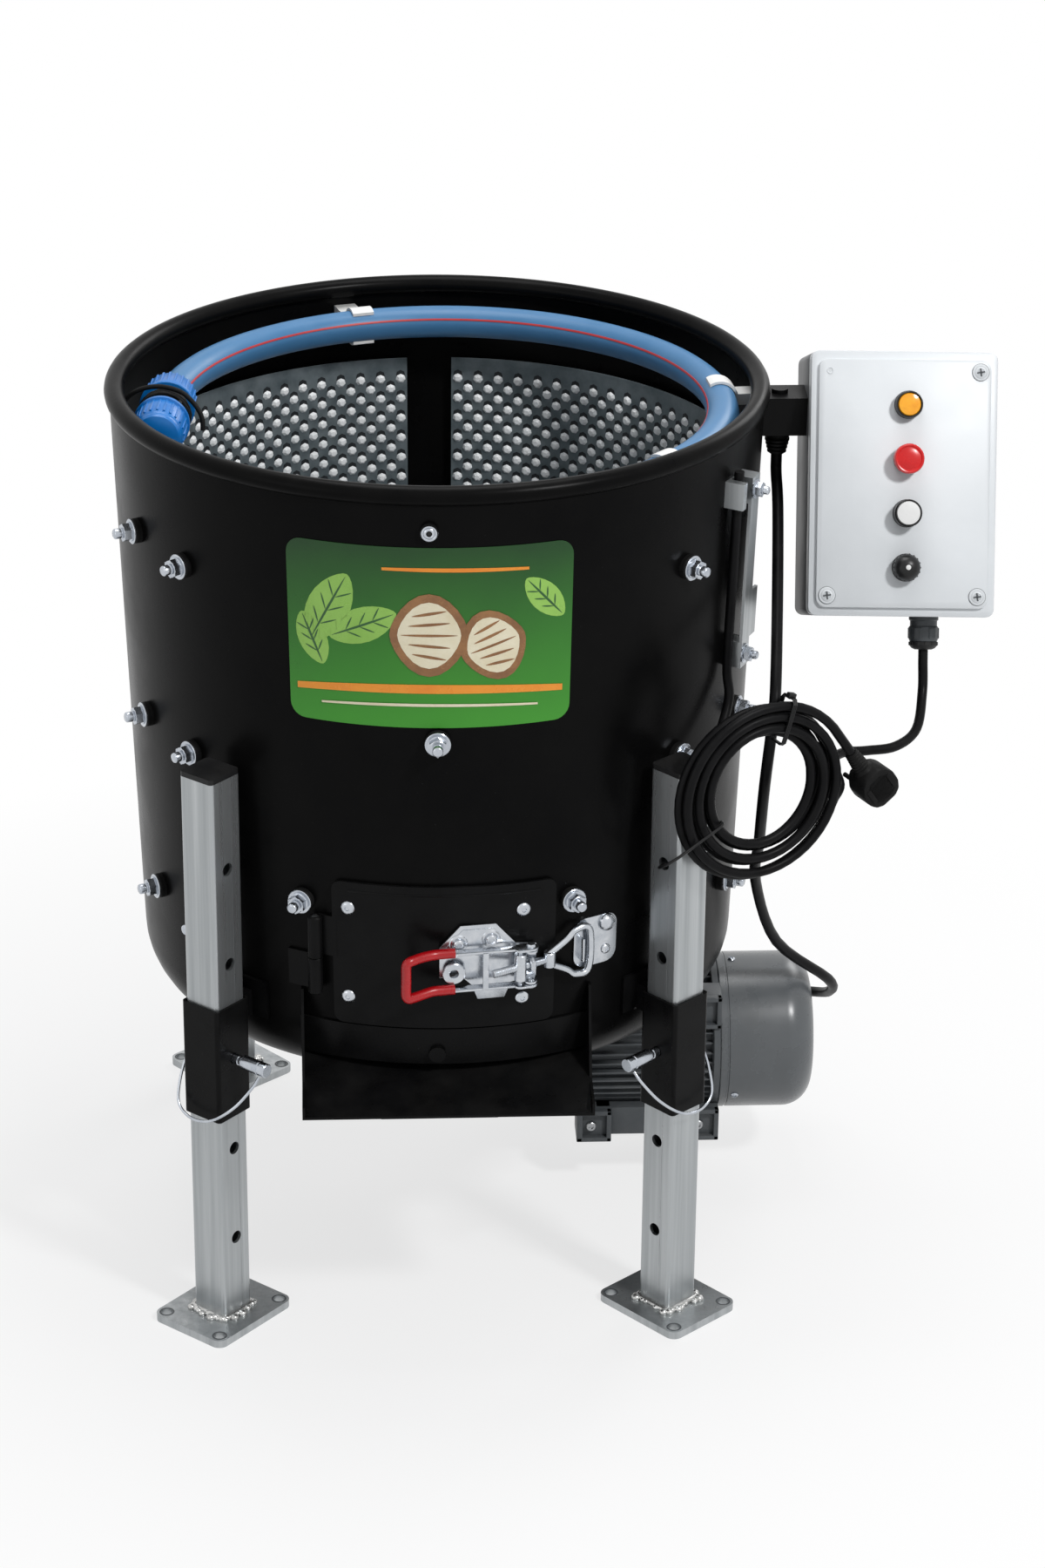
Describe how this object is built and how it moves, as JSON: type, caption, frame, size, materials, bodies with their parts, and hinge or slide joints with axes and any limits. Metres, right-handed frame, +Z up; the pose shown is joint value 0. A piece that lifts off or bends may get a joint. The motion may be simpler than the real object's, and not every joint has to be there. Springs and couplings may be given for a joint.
{
  "type": "walnut huller",
  "caption": "Upright drum huller on adjustable legs with a grater liner, spinning bottom disc, latched front hatch, discharge chute, water ring and tilted control box.",
  "frame": {"origin": "floor level under the axis of the drum, in the middle of the foot plates", "axes": "+Z up along the drum axis, -Y to the front where the hatch and chute are, +X to the side of the control box"},
  "size_m": [0.8573, 0.6783, 0.9203],
  "materials": {
    "drum_black": "gloss powder coat",
    "frame_black": "satin powder coat",
    "galvanised": "hot-dip galvanised, streaked",
    "zinc": "bright zinc plate",
    "liner_steel": "rough stainless sheet",
    "label_green": "printed film",
    "pipe_blue": "polyethylene with a red line",
    "fitting_black": "moulded",
    "fitting_blue": "moulded",
    "plastic_white": "moulded",
    "grip_red": "dipped vinyl",
    "box_grey": "light grey powder coat",
    "motor_grey": "dark grey paint on a die casting",
    "cowl_grey": "dark grey paint",
    "gear_grey": "dark grey paint on a casting",
    "steel": "machined",
    "bronze": "machined",
    "black_plastic": "moulded",
    "red_plastic": "moulded",
    "amber_lens": "clear moulded lens",
    "rubber_black": "moulded",
    "cable_black": "cable sheath"
  },
  "bodies": {
    "frame": {"drum": "drum_black", "liner_sides": "liner_steel", "liner_front": "liner_steel", "liner_bolts": "zinc", "liner_bushes": "rubber_black", "label_plate": "label_green", "spray_pipe": "pipe_blue", "coupling_body": "fitting_black", "coupling_nuts": "fitting_blue", "pipe_clips": "plastic_white", "hinge_leaf": "frame_black", "hinge_pin": "frame_black", "catch_plate": "zinc", "catch_rivets": "zinc", "chute": "frame_black", "frame_bolts": "zinc", "base_plate": "frame_black", "leg_sleeves": "frame_black", "leg_tubes": "galvanised", "leg_caps": "fitting_black", "gearbox_housing": "gear_grey", "motor_frame": "motor_grey", "motor_cowl": "cowl_grey", "terminal_box": "motor_grey", "box_base": "box_grey", "box_lid": "box_grey", "lid_screws": "zinc", "control_bezels": "black_plastic", "lamp_lens": "amber_lens", "box_gland": "zinc", "box_arm": "frame_black", "cable_boot": "rubber_black", "guard_strip": "galvanised", "guard_bolts": "zinc", "mains_lead": "cable_black", "mains_coil": "cable_black", "mains_plug": "rubber_black", "motor_cable": "cable_black", "bonding_lead": "cable_black", "coil_ties": "black_plastic", "pin_wires": "zinc"},
    "door": {"door_panel": "drum_black", "door_rivets": "zinc", "latch_base": "zinc", "latch_bolts": "zinc"},
    "lever": {"latch_lever": "zinc", "latch_grip": "grip_red"},
    "hook": {"latch_hook": "zinc"},
    "rotor": {"rotor_disc": "steel", "output_shaft": "steel", "worm_wheel": "bronze"},
    "motor_rotor": {"motor_shaft": "steel", "motor_fan": "black_plastic"},
    "red_button": {"red_button": "red_plastic"},
    "white_button": {"white_button": "plastic_white"},
    "selector_knob": {"selector_knob": "black_plastic"},
    "lock_pin_fl": {"lock_pin_fl": "zinc"},
    "lock_pin_fr": {"lock_pin_fr": "zinc"},
    "lock_pin_rr": {"lock_pin_rr": "zinc"},
    "lock_pin_rl": {"lock_pin_rl": "zinc"}
  },
  "joints": [
    {"name": "rotor_spin", "type": "hinge", "parent": "frame", "child": "rotor", "pos_m": [0, 0, 0.301], "axis": [0, 0, 1], "continuous": true},
    {"name": "motor_spin", "type": "hinge", "parent": "frame", "child": "motor_rotor", "pos_m": [0, 0.05, 0.1475], "axis": [1, 0, 0], "continuous": true},
    {"name": "door_swing", "type": "hinge", "parent": "frame", "child": "door", "pos_m": [-0.12441, -0.28207, 0.4115], "axis": [0, 0, -1], "range_deg": [0, 100]},
    {"name": "latch_throw", "type": "hinge", "parent": "door", "child": "lever", "pos_m": [0.07839, -0.30847, 0.40957], "axis": [0.0047, -0.0331, 0.9994], "range_deg": [0, 120]},
    {"name": "hook_follow", "type": "hinge", "parent": "lever", "child": "hook", "pos_m": [0.06846, -0.31107, 0.40952], "axis": [0.0047, -0.0331, 0.9994], "range_deg": [-120, 0]},
    {"name": "pull_fl", "type": "slide", "parent": "frame", "child": "lock_pin_fl", "axis": [0.7547, -0.6561, 0], "range_m": [0, 0.062]},
    {"name": "pull_fr", "type": "slide", "parent": "frame", "child": "lock_pin_fr", "axis": [-0.7547, -0.6561, 0], "range_m": [0, 0.062]},
    {"name": "pull_rr", "type": "slide", "parent": "frame", "child": "lock_pin_rr", "axis": [-0.7547, 0.6561, 0], "range_m": [0, 0.062]},
    {"name": "pull_rl", "type": "slide", "parent": "frame", "child": "lock_pin_rl", "axis": [0.7547, 0.6561, 0], "range_m": [0, 0.062]},
    {"name": "press_red", "type": "slide", "parent": "frame", "child": "red_button", "axis": [0, 0.9272, -0.3746], "range_m": [0, 0.004], "stiffness_N_per_m": 900},
    {"name": "press_white", "type": "slide", "parent": "frame", "child": "white_button", "axis": [0, 0.9272, -0.3746], "range_m": [0, 0.004], "stiffness_N_per_m": 900},
    {"name": "turn_selector", "type": "hinge", "parent": "frame", "child": "selector_knob", "pos_m": [0.44578, -0.1063, 0.72818], "axis": [0, 0.9272, -0.3746], "range_deg": [0, 90]}
  ],
  "couplings": [
    {"joint": "motor_spin", "follows": "rotor_spin", "ratio": 10},
    {"joint": "hook_follow", "follows": "latch_throw", "ratio": -1}
  ]
}
